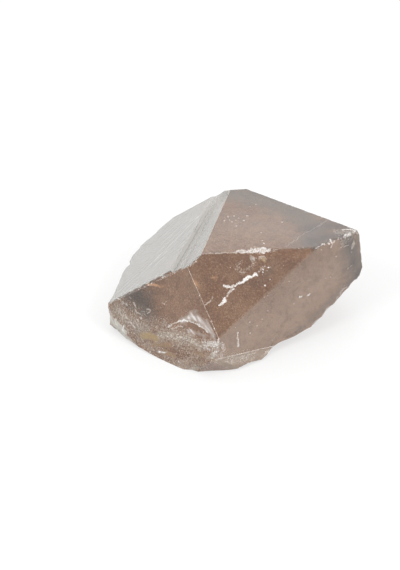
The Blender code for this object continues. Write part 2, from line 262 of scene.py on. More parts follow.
def flip_once(points, triangles):
    """Turn the shared edge of two level triangles where that makes them less thin.

    An edge is turned where the angles across from it add to more than half a turn.
    """
    edges, pair, side = sides_of(triangles)
    a = triangles[pair[:, 0], side[:, 0]]
    b = triangles[pair[:, 0], (side[:, 0] + 1) % 3]
    c = triangles[pair[:, 0], (side[:, 0] + 2) % 3]
    d = triangles[pair[:, 1], (side[:, 1] + 2) % 3]
    at_a, at_b, at_c, at_d = points[a], points[b], points[c], points[d]
    up = np.cross(at_b - at_a, at_c - at_a)
    down = np.cross(at_a - at_b, at_d - at_b)
    left = np.cross(at_d - at_a, at_c - at_a)
    right = np.cross(at_b - at_d, at_c - at_d)
    facing = unit(up + down + 1e-15)
    largest = np.max([np.linalg.norm(n, axis=1) for n in (up, down, left, right)], axis=0)
    volume = np.abs(np.sum(up * (at_d - at_a), axis=1))
    level = volume < LEVEL_MM * largest
    least = 1e-3 * largest
    convex = (np.sum(left * facing, axis=1) > least) & (np.sum(right * facing, axis=1) > least)
    cos_c, sin_c = np.sum((at_a - at_c) * (at_b - at_c), axis=1), np.linalg.norm(up, axis=1)
    cos_d, sin_d = np.sum((at_a - at_d) * (at_b - at_d), axis=1), np.linalg.norm(down, axis=1)
    over = np.arctan2(sin_c, cos_c) + np.arctan2(sin_d, cos_d) - math.pi
    gain = np.where(level & convex, over, 0)
    gain[gain < 1e-3] = 0
    best = np.zeros(len(triangles))
    np.maximum.at(best, pair.reshape(-1), np.repeat(gain, 2))
    turn = (gain > 0) & (gain >= best[pair[:, 0]]) & (gain >= best[pair[:, 1]])
    taken = np.bincount(pair[turn].reshape(-1), minlength=len(triangles))
    turn &= (taken[pair] <= 1).all(axis=1)
    triangles = triangles.copy()
    triangles[pair[turn, 0]] = np.stack([a, d, c], 1)[turn]
    triangles[pair[turn, 1]] = np.stack([d, b, c], 1)[turn]
    return triangles, int(turn.sum())


def refine(points, triangles, wanted, rounds=24, flips=3):
    """Split again and again until no edge is longer than wanted, flipping in between."""
    sizes = wanted(points)
    for _ in range(4 * flips):
        triangles, _ = flip_once(points, triangles)
    for _ in range(rounds):
        points, sizes, triangles, changed = split_once(points, sizes, triangles, wanted)
        for _ in range(flips if changed else 2 * flips):
            triangles, _ = flip_once(points, triangles)
        if not changed:
            break
    return points, triangles


# %% Find the sharp edges
def corner_angles(points, triangles):
    """For each edge, the angle in radians between the two triangles that share it."""
    a, b, c = points[triangles[:, 0]], points[triangles[:, 1]], points[triangles[:, 2]]
    normals = unit(np.cross(b - a, c - a) + 1e-15)
    edges, pair, _ = sides_of(triangles)
    cosine = np.sum(normals[pair[:, 0]] * normals[pair[:, 1]], axis=1)
    return edges, np.arccos(np.clip(cosine, -1, 1))


def distance_to(points, targets, block=4000):
    """Distance in mm from each point to the nearest of the target points."""
    nearest = np.empty(len(points))
    for start in range(0, len(points), block):
        part = points[start:start + block]
        square = (part ** 2).sum(1)[:, None] + (targets ** 2).sum(1) - 2 * part @ targets.T
        nearest[start:start + block] = np.sqrt(np.clip(square.min(axis=1), 0, None))
    return nearest


edges, angles = corner_angles(points, triangles)
print("sharp edges:", int((angles > math.radians(20)).sum()))

# %% [markdown]
# Everything rough on the stone comes from one kind of smooth noise.  Random numbers sit
# on a lattice, and each point takes a blend of the eight around it.  Adding the same
# noise again at half the size and half the strength gives the mixture of large and small
# that broken stone has.

# %% Noise
LATTICE = 32


def lattice_noise(points, cell_mm, seed):
    """Blend of 8 lattice values per point, weights 3t^2 - 2t^3 along each axis, -1 to 1."""
    draw = np.random.default_rng(seed)
    table = draw.uniform(-1, 1, (LATTICE, LATTICE, LATTICE))
    tilt = np.linalg.qr(draw.normal(size=(3, 3)))[0]
    spot = points @ tilt / cell_mm + draw.uniform(100, 200, 3)
    whole = np.floor(spot).astype(np.int64)
    share = spot - whole
    share = share * share * (3 - 2 * share)
    total = np.zeros(len(points))
    for corner in np.ndindex(2, 2, 2):
        weight = np.prod(np.where(corner, share, 1 - share), axis=1)
        i, j, k = ((whole + corner) % LATTICE).T
        total += weight * table[i, j, k]
    return total


def rough_noise(points, cell_mm, seed, layers=3):
    """Noise, plus half as much at half the size, and so on, scaled back to about -1 to 1."""
    total, strength = np.zeros(len(points)), 1.0
    for layer in range(layers):
        total += strength * lattice_noise(points, cell_mm / 2 ** layer, seed + 17 * layer)
        strength /= 2
    return total / 1.5


def smooth(low, high, values):
    """0 below low, 1 above high, and 3t^2 - 2t^3 between."""
    share = np.clip((values - low) / (high - low), 0, 1)
    return share * share * (3 - 2 * share)


# %% [markdown]
# A place on a face is given as two lengths: how far along the face towards the tip, and
# how far across it, from the foot of the line that drops from the stone's heart.

# %% Places on a face
def face_axes(name):
    """Foot point, direction along the face towards the tip, and direction across it."""
    normal = NORMALS[name]
    along = unit(LONG_AXIS - normal * (LONG_AXIS @ normal))
    return HEART_MM + normal * DISTANCES[name], along, np.cross(normal, along)


def on_face(name, places):
    """Points in mm of (along, across) places on a face."""
    foot, along, across = face_axes(name)
    places = np.asarray(places, float)
    return foot + places[:, :1] * along + places[:, 1:2] * across


def corner(*names, lowered=0.0):
    """The point where three face planes meet, the last plane moved inwards by lowered mm."""
    rows = np.array([NORMALS[name] for name in names])
    distances = np.array([DISTANCES[name] for name in names]) - (0.0, 0.0, lowered)
    return HEART_MM + np.linalg.solve(rows, distances)


def distance_to_line(points, line):
    """Distance in mm from each point to a line through several points."""
    nearest = np.full(len(points), np.inf)
    for start, end in zip(line[:-1], line[1:]):
        run = end - start
        share = np.clip((points - start) @ run / (run @ run), 0, 1)[:, None]
        nearest = np.minimum(nearest, np.linalg.norm(points - start - share * run, axis=1))
    return nearest


# %% [markdown]
# The marks on the faces are white where the stone is bruised: a blow leaves a cloud of
# tiny cracks, and they scatter the light.  Hairs and scratches are thin cracks.  Frost is
# a sugary dull skin, a veil is a healed crack, a stain is iron, and smoke is where
# radiation darkened the stone most.  A glow is painted light: warm colour where light
# gathers inside the stone.  The tones are painted light and shade under whole faces.  The
# lighter one is partly haze in the stone and partly a painted reflection of the bright
# surroundings, the grey one is painted shade that greys and darkens parts of faces, and
# the dark one is painted shade, mostly towards the far end.  Dim bands darken the stone,
# and on the sunk ledges they are painted shade.  Each mark is a line on its face, with a
# width that fades out at a ragged border.  They are only colour and polish, so they stay
# flat.  They could be painted by hand, but a list of places in millimetres can be read
# and changed, and never looks blurred.

# %% Marks on the faces
MARKS = (
    # what, face, its (along, across) places in mm, half width in mm, strength
    ("bruise", "pyramid_1", ((-5.1, -2.5), (-3.9, -3.4), (-2.1, -3.8), (1.7, -3.3)), 0.5, 0.75),
    ("bruise", "pyramid_1", ((1.2, -3.3), (3.1, -3.1), (5.0, -3.4)), 0.75, 0.9),
    ("bruise", "pyramid_1", ((-2.7, -4.5), (-4.2, -4.9), (-6.4, -6.2)), 0.5, 0.5),
    ("bruise", "pyramid_1", ((-6.4, -6.2), (-6.8, -6.7), (-8.3, -7.4)), 0.75, 0.85),
    ("hair", "pyramid_1", ((-12.7, -5.5), (-11.3, -5.4), (-9.8, -4.3)), 0.3, 1.0),
    ("bruise", "pyramid_1", ((5.0, -3.4), (6.6, -2.4), (8.4, -1.9)), 0.5, 0.38),
    ("frost", "pyramid_1",
     ((2.5, 2.1), (0.4, 1.0), (1.4, -1.1), (4.2, -0.6), (6.3, 0.4)), 0.9, 0.6),
    ("bruise", "pyramid_1",
     ((3.6, 4.9), (5.8, 4.0), (7.6, 3.1), (9.4, 2.6), (10.7, 2.2)), 0.75, 0.54),
    ("hair", "pyramid_1", ((5.9, 2.3), (6.4, 1.4), (8.8, 0.7), (8.9, 0.0)), 0.6, 0.5),
    ("hair", "pyramid_1", ((-6.0, 8.6), (-2.0, 6.9), (2.7, 5.2)), 0.3, 0.9),
    ("bruise", "pyramid_0", ((4.1, -8.6), (6.4, -7.8), (8.2, -6.9)), 0.7, 0.56),
    ("bruise", "pyramid_0", ((8.2, -6.7), (10.1, -5.9), (11.3, -5.6)), 1.6, 0.58),
    ("veil", "pyramid_1", ((6.0, 1.9), (6.2, 1.5)), 1.2, 0.8),
    ("stain", "pyramid_1", ((8.9, 0.3), (9.1, -0.1)), 1.4, 1.3),
    ("hair", "pyramid_1", ((8.2, 1.3), (9.6, 0.9), (9.9, -0.2)), 0.3, 0.9),
    ("bruise", "pyramid_2", ((-10.6, 6.6), (-11.6, 5.6), (-12.4, 4.7), (-14.1, 3.1)), 0.4, 0.66),
    ("bruise", "pyramid_2", ((7.9, -7.5), (8.4, -7.9)), 0.45, 0.75),
    ("bruise", "pyramid_2", ((9.5, -9.8), (10.0, -10.1)), 0.4, 0.7),
    ("hair", "pyramid_2", ((28.6, -7.2), (27.1, -6.8), (25.5, -7.0)), 0.32, 1.3),
    ("hair", "pyramid_2", ((26.4, -10.1), (27.6, -11.5), (28.7, -12.7)), 0.3, 0.7),
    ("hair", "pyramid_2", ((22.2, -18.1), (24.1, -18.7)), 0.3, 0.5),
    ("hair", "pyramid_2", ((30.9, -13.4), (30.1, -14.0), (29.0, -14.7)), 0.7, 0.7),
    ("bruise", "pyramid_2", ((31.9, -6.9), (32.6, -8.1), (33.2, -9.6), (33.4, -11.8)), 0.45, 0.6),
    ("bruise", "pyramid_2", ((30.2, -9.4), (31.3, -9.7), (32.3, -10.8)), 0.6, 0.62),
    ("dim", "pyramid_2", ((28.2, -9.2), (29.1, -9.8), (29.6, -11.3)), 0.9, 0.8),
    ("bruise", "pyramid_0", ((32.2, 9.6), (33.2, 10.2), (34.5, 10.5), (36.1, 9.8)), 0.6, 0.6),
    ("bruise", "pyramid_0", ((33.6, 6.0), (34.1, 7.5), (35.1, 8.5)), 0.9, 0.62),
    ("bruise", "pyramid_0", ((35.9, 10.5), (37.1, 8.6)), 0.8, 0.5),
    ("frost", "pyramid_0", ((31.0, 8.0), (35.5, 9.0)), 2.6, 0.5),
    ("frost", "pyramid_2", ((28.5, -10.0), (31.8, -11.5)), 2.6, 0.45),
    ("bruise", "pyramid_0", ((29.7, 4.0), (30.2, 3.4)), 0.5, 0.75),
    ("bruise", "pyramid_0", ((27.6, 0.6), (28.6, 1.2)), 0.42, 0.7),
    ("scratch", "pyramid_0", ((27.5, 15.0), (24.1, 9.2), (20.7, 3.6), (17.5, -2.5)), 0.5, 0.8),
    # painted shade: the grey tone and the dark bands grey and darken the top face, most at its far
    # end
    ("grey_shade", "pyramid_0",
     ((-5.3, 21.0), (4.4, 20.5), (15.9, 16.0), (24.0, 8.0), (24.0, 2.0)), 12.0, 1.0),
    ("shade", "pyramid_0", ((-5.3, 22.0), (4.4, 21.5), (15.9, 17.0), (24.0, 9.0)), 10.0, 0.5),
    ("shade", "pyramid_0", ((25.0, 2.0), (30.0, 6.0), (38.0, 8.0)), 11.0, 1.0),
    ("shade", "pyramid_0", ((22.0, 8.0), (29.0, 11.0), (38.0, 13.0)), 9.0, 0.8),
    ("shade", "pyramid_0", ((27.5, 0.5), (31.0, -2.0), (34.0, -4.5)), 5.0, 0.55),
    # painted shade at the far end of the near face and along its lower edge
    ("grey_shade", "pyramid_2", ((32.0, -10.0), (28.0, -16.0), (24.0, -22.0)), 9.0, 0.7),
    ("shade", "pyramid_2", ((32.0, -9.0), (28.0, -14.0), (24.5, -19.0), (21.5, -23.5)), 9.0, 0.8),
    ("grey_shade", "pyramid_2", ((23.1, -23.0), (9.7, -18.9), (-1.2, -15.1)), 3.0, 0.7),
    ("smoke", "pyramid_2", ((-1.2, -15.1), (-3.2, -13.9), (-5.0, -12.0)), 1.4, 0.55),
    # painted shade in two bands on this face
    ("shade", "pyramid_1", ((10.6, -2.7), (7.8, -4.5), (4.6, -5.7)), 3.6, 0.35),
    ("shade", "pyramid_1", ((19.0, -4.4), (15.0, -5.9), (11.1, -7.5)), 1.5, 0.35),
    ("smoke", "pyramid_1", ((26.5, -3.2), (25.0, -3.0), (23.6, -3.3)), 1.1, 0.9),
    ("hair", "prism_1", ((-13.1, -6.5), (-11.3, -6.3), (-9.2, -6.2), (-7.2, -6.8)), 0.36, 0.95),
    ("bruise", "prism_1", ((-9.2, -6.2), (-7.2, -6.8), (-5.3, -7.9), (-3.7, -9.4)), 0.38, 0.8),
    ("bruise", "prism_1", ((-3.7, -9.4), (-2.2, -11.0), (-0.9, -13.2)), 0.4, 0.6),
    ("hair", "prism_1", ((-12.4, -7.5), (-10.0, -7.5), (-8.5, -8.5)), 0.35, 0.9),
    ("bruise", "prism_1", ((-13.3, -6.4), (-12.3, -6.6)), 0.6, 0.45),
    ("veil", "prism_1",
     ((-7.9, -6.9), (-4.6, -6.6), (-2.2, -8.8), (-0.6, -11.6), (0.2, -14.7)), 2.0, 1.0),
    ("veil", "prism_1", ((-4.9, -5.6), (-1.8, -6.2)), 1.4, 0.6),
    ("veil", "prism_1", ((-7.4, -10.2), (-4.4, -12.1), (-2.3, -14.3)), 1.3, 0.6),
    ("veil", "prism_1", ((0.2, -10.0), (0.4, -12.7), (0.2, -15.2), (0.0, -17.8)), 0.9, 1.0),
    ("frost", "prism_1", ((-17.5, -7.7), (-12.4, -9.8), (-8.0, -12.9), (-5.6, -15.9)), 4.2, 1.0),
    ("frost", "prism_1", ((-13.6, -12.0), (-9.2, -15.1)), 3.0, 0.6),
    ("frost", "prism_1",
     ((-24.8, -6.1), (-21.2, -10.9), (-16.2, -16.9), (-10.1, -20.6)), 3.2, 0.55),
    ("frost", "prism_1", ((-27.9, 5.2), (-26.0, 1.0), (-22.0, -4.0)), 7.0, 0.75),
    ("frost", "prism_1", ((-20.0, -3.0), (-14.0, -5.5)), 4.0, 0.5),
    ("frost", "prism_1",
     ((-3.8, -16.3), (-1.6, -17.5), (0.0, -18.8), (-1.9, -20.3), (-4.3, -20.3)), 2.6, 1.0),
    ("bruise", "prism_1", ((-3.8, -16.3), (-1.6, -17.5), (0.0, -18.8), (-1.9, -20.3)), 2.2, 0.36),
    ("bruise", "prism_1", ((1.2, -17.0), (0.2, -18.8)), 1.0, 0.55),
    ("bruise", "pyramid_2", ((-15.9, 9.3), (-17.0, 7.5), (-19.1, 7.2)), 1.1, 0.34),
    ("bruise", "prism_1", ((-20.5, -11.8), (-19.0, -12.8), (-17.5, -13.1)), 0.4, 0.55),
    ("bruise", "prism_1", ((-28.2, 0.0), (-29.3, -1.2), (-28.9, -2.7)), 0.5, 0.5),
    ("thin", "prism_1", ((-33.5, 4.0), (-33.5, 0.0), (-32.0, -3.5), (-30.5, -5.5)), 3.4, 1.8),
    ("thin", "prism_1", ((-30.6, 2.4), (-30.0, 0.6), (-29.2, -1.6)), 2.0, 1.8),
    ("hair", "prism_1",
     ((-31.0, 3.7), (-29.3, 2.4), (-28.2, 0.3), (-27.4, -1.3), (-27.8, -2.7)), 0.3, 0.7),
    ("stain", "prism_1", ((-22.9, -5.5), (-20.7, -6.1), (-19.4, -7.6)), 2.0, 1.6),
    ("stain", "prism_1", ((-20.9, -9.0), (-18.4, -10.4), (-15.6, -11.8)), 2.0, 0.75),
    ("stain", "prism_1", ((-18.1, -12.8), (-15.4, -15.2)), 2.0, 0.75),
    ("stain", "prism_1", ((-8.1, -16.8), (-6.0, -19.0)), 2.0, 0.6),
    ("smoke", "prism_1", ((-23.2, -8.4), (-21.8, -9.6), (-20.7, -11.4), (-19.0, -12.8)), 0.5, 0.55),
    ("smoke", "prism_1", ((-19.0, 6.2), (-18.7, 5.0), (-18.5, 3.7)), 2.8, 1.3),
    ("smoke", "prism_1", ((-21.6, 8.7), (-19.5, 6.1), (-18.0, 3.2), (-18.4, 1.0)), 7.5, 1.1),
    ("smoke", "prism_1", ((-24.1, 6.0), (-23.7, 4.5), (-22.6, 3.2)), 1.9, 0.8),
    ("smoke", "prism_1", ((-19.6, 2.8), (-19.1, 1.4), (-18.8, 0.3)), 2.0, 0.85),
    ("smoke", "prism_1", ((-15.1, 4.4), (-15.1, 3.2)), 1.2, 0.7),
    ("smoke", "prism_1", ((-20.8, 8.5), (-16.7, 8.6), (-12.6, 8.6)), 1.6, 0.8),
    ("smoke", "prism_1", ((-25.4, 8.4), (-16.7, 8.7), (-8.1, 9.0), (-0.2, 9.0)), 0.9, 0.85),
    # glows: painted light, warm colour where light gathers inside the stone
    ("glow", "prism_1", ((-14.2, 8.0), (-12.3, 7.2), (-10.4, 6.0)), 0.8, 1.6),
    ("glow", "prism_1", ((-10.0, 5.6), (-8.3, 4.7)), 1.8, 0.7),
    ("glow", "prism_1", ((-7.6, 3.6), (-7.0, 2.5)), 1.5, 0.7),
    ("glow", "prism_1", ((-7.1, 0.3), (-7.5, -2.4)), 1.3, 0.75),
    ("glow", "prism_1", ((-14.5, 4.5), (-12.0, 3.2)), 3.0, 0.5),
    ("glow", "pyramid_1", ((-7.4, 1.4), (-6.4, 0.6)), 1.7, 0.9),
    ("glow", "pyramid_1", ((-12.9, 2.8), (-12.4, 0.8)), 1.8, 0.9),
    ("glow", "pyramid_1", ((-3.6, 1.9), (-3.0, 1.4)), 1.8, 0.6),
    ("glow", "pyramid_1", ((-9.0, -8.0), (-9.0, -13.0)), 5.0, 0.5),
    ("glow", "pyramid_1", ((-6.0, -2.0), (-9.0, -6.0)), 4.0, 0.45),
    ("hair", "prism_1", ((-25.8, 8.0), (-24.9, 6.6), (-23.9, 5.0)), 0.3, 0.95),
    ("hair", "prism_1", ((-21.6, 5.1), (-21.4, 3.5)), 0.34, 1.1),
    ("hair", "prism_1", ((-22.0, 2.9), (-21.7, 1.9), (-21.0, 1.1)), 0.36, 1.3),
    ("hair", "prism_1", ((-22.8, 0.5), (-22.7, -0.8)), 0.34, 1.1),
    ("hair", "prism_1", ((-26.5, 3.4), (-25.8, 1.6)), 0.32, 0.9),
    ("hair", "prism_1", ((-25.5, 0.1), (-25.2, -0.6), (-24.8, -1.7)), 0.36, 1.3),
    ("hair", "prism_1", ((-21.2, -0.1), (-21.0, -0.7)), 0.4, 1.0),
    ("hair", "prism_1", ((-18.5, 1.8), (-17.1, 1.2), (-17.0, 0.5), (-18.1, 0.1)), 0.32, 0.95),
    ("hair", "prism_1", ((-25.8, 1.7), (-25.2, 0.1), (-24.8, -2.1), (-24.3, -3.9)), 0.3, 0.7),
    ("hair", "prism_1", ((-21.9, 7.4), (-21.7, 6.5)), 0.32, 0.9),
    ("hair", "prism_1", ((-28.6, 6.8), (-27.6, 4.0), (-27.0, 1.0)), 0.3, 0.55),
    ("hair", "prism_1", ((-24.0, 1.5), (-23.4, -1.0), (-22.6, -3.4)), 0.3, 0.6),
    ("hair", "prism_1", ((-12.0, 1.0), (-11.2, 0.2), (-10.4, 0.6)), 0.3, 0.8),
    ("dim", "pyramid_2", ((0.2, -14.5), (-5.4, -9.4), (-10.6, -5.6)), 1.6, 0.5),
    # a lighter tone, partly haze and partly a painted reflection of the bright surroundings, then
    # painted grey shade on the top face and the front prism face
    ("haze_and_sheen", "pyramid_2", ((-14.0, 4.0), (0.0, -8.0), (14.0, -12.0), (26.0, -16.0)), 24.0, 1.1),
    ("haze_and_sheen", "pyramid_0", ((-4.0, 0.0), (4.0, 4.0), (14.0, 5.0)), 14.0, 0.4),
    ("grey_shade", "pyramid_0", ((0.0, 8.0), (25.0, 6.0)), 18.0, 0.45),
    ("grey_shade", "prism_1", ((-29.0, 6.0), (-26.0, 0.0), (-23.0, -5.0)), 6.5, 0.4),
    ("thin", "prism_1", ((-28.0, 2.0), (-27.5, -1.5), (-25.0, -5.0)), 3.5, 0.5),
    ("frost", "prism_2", ((-24.0, -3.0), (-14.0, 12.0)), 14.0, 0.8),
    ("frost", "pyramid_2", ((-21.3, 9.4), (-15.0, -3.0)), 3.0, 0.5),
    ("dim", "prism_0", ((-5.2, -13.5), (-3.7, -9.1), (-2.5, -5.7)), 0.6, 0.8),
    ("dim", "prism_0", ((-2.0, -15.0), (-0.7, -11.6), (-0.1, -8.9)), 0.8, 0.9),
    ("dim", "prism_0", ((-8.3, -5.4), (-5.1, -5.2), (-1.5, -5.0)), 0.35, 1.1),
    ("bruise", "prism_0", ((-1.1, -7.1), (0.2, -2.7), (1.4, 0.8), (2.2, 5.7)), 0.5, 0.38),
    ("hair", "prism_0", ((-17.0, -4.2), (-9.7, 4.2), (-2.3, 12.8)), 0.5, 0.6),
    ("hair", "prism_0", ((-6.1, 11.5), (2.2, 13.9)), 0.5, 0.6),
)
print(len(MARKS), "long marks")

# %% Single bright grains
SPARKS = (
    # face, places in mm
    ("pyramid_0", (
        (-3.3, 8.1), (-1.7, 9.1), (-1.5, 5.8), (0.1, 8.4), (1.6, 7.6), (1.3, 4.9), (0.3, 4.1),
        (-4.0, 6.3), (-2.6, 6.9), (-0.6, 7.0), (2.2, 10.0), (13.4, 9.4), (9.7, -1.6),
        (10.6, -2.8), (8.4, 2.6))),
    ("pyramid_1", ((6.3, -7.1), (8.3, -6.3), (7.6, -2.6), (8.6, -3.4), (7.2, -3.4), (9.4, -2.8))),
    ("pyramid_2", ((-5.9, 4.7), (-9.0, 2.0))),
    ("prism_1", (
        (-23.2, -10.7), (-22.2, -12.8), (-20.1, -15.0), (-9.8, -20.8), (-15.0, -17.5),
        (-6.5, -21.5), (-25.2, -8.6), (-28.2, 0.3), (-27.9, -0.7), (-29.0, -3.1), (-30.3, 3.1))),
)
SPARK_MM = 0.28
MARKS += tuple(("bruise", face, (spot, (spot[0] + 0.1, spot[1])), SPARK_MM, 0.8)
               for face, spots in SPARKS for spot in spots)
KINDS = (
    "haze_and_sheen", "grey_shade", "pale_sheen", "thin", "wall_light", "dim", "shade", "glow",
    "smoke", "frost", "stain", "veil", "scratch", "hair", "bruise",
)
THIN = ("bruise", "hair", "scratch")
# the tones are painted light and shade under whole faces; the lighter one is partly haze
TONES = ("haze_and_sheen", "grey_shade", "shade")
print(len(MARKS), "marks with the grains")

# %% [markdown]
# How fine the surface has to be depends on the place.  Chips are a fraction of a
# millimetre wide, so chipped edges and thin marks get the finest triangles, the broken
# sides a medium grain, and the middle of a flat face almost none.  Subdividing it all
# evenly would be simpler, but would need millions of triangles for the same chips.

# %% Where the surface is fine
FINEST = 0.30
EDGE_FINE, MARK_FINE, ZONE_FINE, LEDGE_FINE = 0.7, 0.30, 0.7, 0.65
BREAK_FINE, FRONT_BREAK_FINE, FLAT_COARSE = 0.9, 0.55, 3.0
EDGE_REACH, CHIPPED_REACH = 0.3, 0.8
COARSER_PER_MM = 0.7
SAMPLE_MM = 0.7
ZONE_SHARE = 5
SHARP_DEG = 25
BREAK_STARTS_MM = 0.05
FRONT_WAY, FRONT_FROM_MM = (0.2, 1.0, -0.6), -8.0

LEDGE_LEVELS = (-0.85, -1.25)
LEVEL_SLACK = 0.03
LEDGE_MIDDLE_MM, LEDGE_HALF_MM = 0.9, 0.6

# %% Corners, and the chipped edges between them
RIDGE_LENGTH_MM = 42.0
SHOULDER = corner("pyramid_1", "prism_1", "prism_0")
RIDGE_END = SHOULDER - RIDGE_LENGTH_MM * LONG_AXIS
LOW_SHOULDER = corner("pyramid_1", "prism_1", "prism_0", lowered=1.25)
BROW_LEFT = corner("pyramid_0", "pyramid_1", "prism_0", lowered=1.25)
BROW_RIGHT = corner("pyramid_0", "pyramid_1", "pyramid_2")
HEEL = corner("pyramid_1", "pyramid_2", "prism_1")
TIP = corner("pyramid_0", "pyramid_2", "pyramid_4")
BACK = corner("pyramid_0", "prism_5", "prism_0", lowered=1.25)
UNDER_TIP, UNDER_HEEL = on_face("pyramid_2", ((22.0, -23.9), (1.7, -18.9)))
CHIPPED_EDGES = (
    (RIDGE_END, SHOULDER, BROW_LEFT, BROW_RIGHT, TIP),
    (BROW_LEFT, BACK), (LOW_SHOULDER, HEEL), (UNDER_TIP, UNDER_HEEL),
)
SILL_FROM_MM, SILL_HEIGHT_MM, SILL_SLOPE = -21.0, 5.8, -0.157
print("chipped edges:", len(CHIPPED_EDGES))


# %% How fine at each place
def along_edges(points, edges, step):
    """Points every step mm along each edge."""
    start, end = points[edges[:, 0]], points[edges[:, 1]]
    count = np.maximum(np.ceil(np.linalg.norm(end - start, axis=1) / step).astype(int), 1)
    which = np.repeat(np.arange(len(edges)), count)
    nth = np.arange(len(which)) - np.repeat(np.cumsum(count) - count, count)
    place = (nth + 0.5) / count[which]
    return start[which] + place[:, None] * (end - start)[which]


edge_points = along_edges(points, edges[angles > math.radians(SHARP_DEG)], SAMPLE_MM)


def depth_below_faces(places):
    """How far inside the grown faces each place lies: 0 on a face or ledge, more on a break."""
    depth = -np.max([above_face(places, name) for name in FACES], axis=0)
    for level in LEDGE_LEVELS:
        on_ledge = np.abs(above_face(places, "prism_0") - level) < LEVEL_SLACK
        depth = np.where(on_ledge, 0.0, depth)
    return depth


def below_sill(places):
    """How far in mm each place lies below the sill's upper line, which slopes along the face."""
    level = unit(np.cross((0.0, 0.0, 1.0), NORMALS["pyramid_2"]))
    foot = HEART_MM + NORMALS["pyramid_2"] * DISTANCES["pyramid_2"]
    line_height = SILL_HEIGHT_MM + SILL_SLOPE * ((places - foot) @ level - SILL_FROM_MM)
    return line_height - places[:, 2]


def wanted_length(places):
    """Longest edge wanted at each place, in mm."""
    away = distance_to(places, edge_points) - EDGE_REACH
    wanted = np.minimum(EDGE_FINE + COARSER_PER_MM * np.clip(away, 0, None), FLAT_COARSE)
    for line in CHIPPED_EDGES:
        away = distance_to_line(places, np.array(line)) - CHIPPED_REACH
        wanted = np.minimum(wanted, FINEST + COARSER_PER_MM * np.clip(away, 0, None))
    broken = depth_below_faces(places) > BREAK_STARTS_MM
    on_break = np.where(places @ FRONT_WAY < FRONT_FROM_MM, FRONT_BREAK_FINE, BREAK_FINE)
    wanted = np.where(broken, np.minimum(wanted, on_break), wanted)
    on_sill = (above_face(places, "pyramid_2") > -0.1) & (below_sill(places) > -1.0)
    wanted = np.where(on_sill, np.minimum(wanted, FRONT_BREAK_FINE), wanted)
    on_ledges = np.abs(above_face(places, "prism_0") + LEDGE_MIDDLE_MM) < LEDGE_HALF_MM
    wanted = np.where(on_ledges, np.minimum(wanted, LEDGE_FINE), wanted)
    for kind, face, spots, width, _ in MARKS:
        away = distance_to_line(places, on_face(face, spots)) - width
        fine = MARK_FINE if kind in THIN else min(ZONE_FINE + width / ZONE_SHARE, FLAT_COARSE)
        wanted = np.minimum(wanted, fine + 2 * COARSER_PER_MM * np.clip(away, 0, None))
    return wanted


points, triangles = refine(points, triangles, wanted_length)
print("refined:", len(points), "points,", len(triangles), "triangles")

# %% [markdown]
# The broken sides are shell-like, as in thick glass: broad hollows with fine steps.
# Each of their points moves along its own normal by noise, and the move fades out at
# the grown faces, which stay perfectly flat, and at the worn flat underneath.  The walls
# of the growth ledges lie below the face too, but they grew, so they get none of it.

# %% Relief of the broken sides
def point_normals(points, triangles):
    """Mean of the normals of the triangles round each point, larger ones counting more."""
    a, b, c = points[triangles[:, 0]], points[triangles[:, 1]], points[triangles[:, 2]]
    across = np.cross(b - a, c - a)
    total = np.zeros((len(points), 3))
    for k in range(3):
        for axis in range(3):
            total[:, axis] += np.bincount(triangles[:, k], across[:, axis], len(points))
    return unit(total + 1e-15)


HOLLOW_CELL_MM, HOLLOW_DEEP_MM = 3.4, 0.45
STEP_CELL_MM, STEP_DEEP_MM = 2.1, 0.16
GRAIN_CELL_MM, GRAIN_DEEP_MM = 0.9, 0.10
RIM_FADE_MM, FLOOR_FADE_MM = 0.8, 0.9
RIM_SHARE = 0.7
LEDGE_FOOT_MM, LEDGE_WALL_MM = -1.3, -7.0

normals = point_normals(points, triangles)
depth = depth_below_faces(points)
proud = np.clip(above_face(points, "pyramid_2"), 0, None)
below = below_sill(points)
rim = smooth(0.02, 0.3, proud) * smooth(-0.6, 0.6, below)
broken = np.maximum(smooth(0.03, RIM_FADE_MM, depth), RIM_SHARE * rim)
grown = above_face(points, "prism_0") > LEDGE_FOOT_MM
broken[grown & (above_face(points, "pyramid_0") > LEDGE_WALL_MM)] = 0.0
hollows = np.abs(rough_noise(points, HOLLOW_CELL_MM, 11, 2))
steps = np.abs((rough_noise(points, STEP_CELL_MM, 12, 2) * 2) % 1 - 0.5) * 2
grain = rough_noise(points, GRAIN_CELL_MM, 13, 2)
inward = HOLLOW_DEEP_MM * hollows + STEP_DEEP_MM * steps + GRAIN_DEEP_MM * grain
inward *= broken * smooth(0.05, FLOOR_FADE_MM, points[:, 2])
points = points - normals * np.clip(inward, 0, None)[:, None]
print("broken side moves in by up to", round(float(inward.max()), 2), "mm")

# %% [markdown]
# The near face ends in a low sill.  Its upper rim has been rubbed down, so it rises out
# of the face over a few millimetres.  The upper left face carries growth lines: low
# steps, nearly along the stone, each one rising slowly and dropping at once.  Two lower
# ledges run beside the ridge and close up towards its far end.

# %% Sill, ledges and growth lines
SILL_RUN_MM = 3.2
SILL_KEEP = 0.9
LEDGE_CLOSE_MM = (1.0, 9.0)
LEDGE_LIFT, LEDGE_DEEPEST_MM = 0.75, 1.3
RIDGE_REACH_MM = (-9.0, -5.0)
TOP_REACH_MM = (0.0, 1.6)
LINE_SPACING_MM, LINE_DEEP_MM, LINE_RISE = 2.3, 0.05, 0.85
LINE_ALONG, LINE_ACROSS = -0.676, 0.737
LINE_WANDER, WANDER_CELL_MM, PATCH_CELL_MM = 0.8, 9.0, 7.0

keep = SILL_KEEP * smooth(-0.4, SILL_RUN_MM, below)
points = points - NORMALS["pyramid_2"] * (proud * (1 - keep))[:, None]

